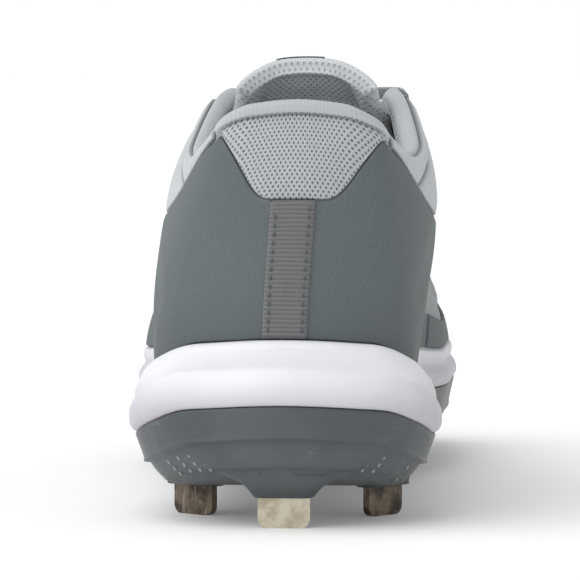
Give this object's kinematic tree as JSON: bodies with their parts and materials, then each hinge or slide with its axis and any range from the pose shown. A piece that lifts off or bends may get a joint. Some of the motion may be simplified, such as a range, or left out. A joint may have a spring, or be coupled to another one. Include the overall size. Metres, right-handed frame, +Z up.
{
  "type": "baseball cleat",
  "caption": "Low-cut baseball cleat with a padded collar and tongue, a foam midsole and a moulded plate that carries flat steel spikes.",
  "frame": {"origin": "centre of the footprint's bounding box, on the floor under the spikes", "axes": "+Y from heel to toe, +Z up, +X to the inner (medial) side of this left shoe"},
  "size_m": [0.1044, 0.302, 0.1335],
  "materials": {
    "dark_synthetic": "fine-grained matt synthetic",
    "light_textile": "matt woven textile",
    "padded_mesh": "open padded mesh",
    "webbing": "ribbed webbing",
    "foam": "satin moulded foam",
    "plate": "satin moulded plastic",
    "steel": "dull cut steel",
    "lace": "flat woven lace",
    "insole_foam": "brushed lining cloth"
  },
  "bodies": {
    "root": {"upper": "light_textile", "quarter": "dark_synthetic", "toe_guard": "dark_synthetic", "eyestay": "dark_synthetic", "heel_pad": "padded_mesh", "heel_webbing": "webbing", "collar_panel_medial": "light_textile", "collar_panel_lateral": "light_textile", "tongue": "padded_mesh", "laces": "lace", "insole": "insole_foam", "midsole": "foam", "outsole": "plate", "spike_heel_rear": "steel", "spike_heel_medial": "steel", "spike_heel_lateral": "steel", "spike_ball_medial": "steel", "spike_ball_lateral": "steel", "spike_mid_medial": "steel", "spike_mid_lateral": "steel", "spike_toe_medial": "steel", "spike_toe_lateral": "steel"}
  },
  "joints": []
}
